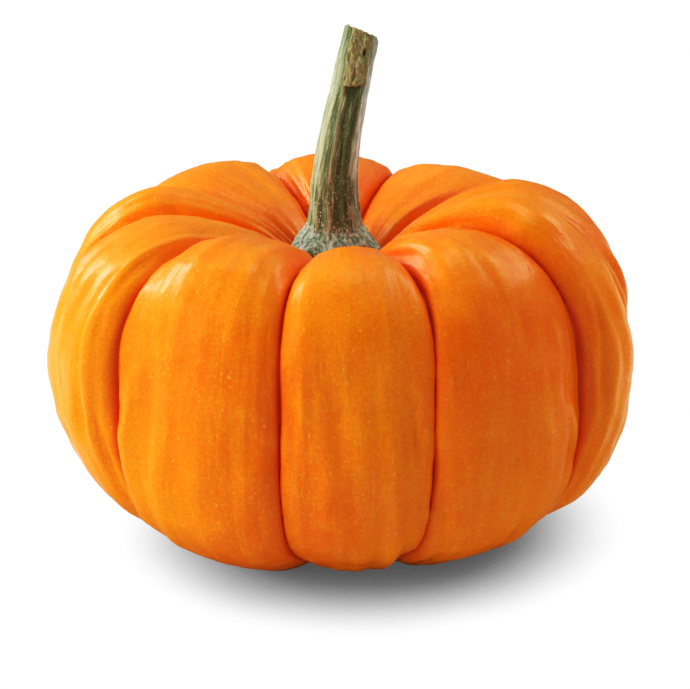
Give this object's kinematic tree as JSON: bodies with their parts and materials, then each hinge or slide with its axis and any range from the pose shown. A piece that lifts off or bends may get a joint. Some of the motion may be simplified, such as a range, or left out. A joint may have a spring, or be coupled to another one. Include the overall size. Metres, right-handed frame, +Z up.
{
  "type": "miniature pumpkin",
  "caption": "Small deeply ribbed ornamental pumpkin with a long, bent, woody cut stem, resting on the flats under its ribs.",
  "frame": {"origin": "middle of the base, on the surface that the pumpkin rests on", "axes": "+Z up through the stem cavity, -Y towards the front, +X towards the side that the stem leans to"},
  "size_m": [0.0906, 0.0848, 0.0823],
  "materials": {
    "skin": "waxy, softly glossy vegetable skin",
    "stem": "dry, matt, ridged woody stalk"
  },
  "bodies": {
    "root": {"fruit": "skin", "stem": "stem"}
  },
  "joints": []
}
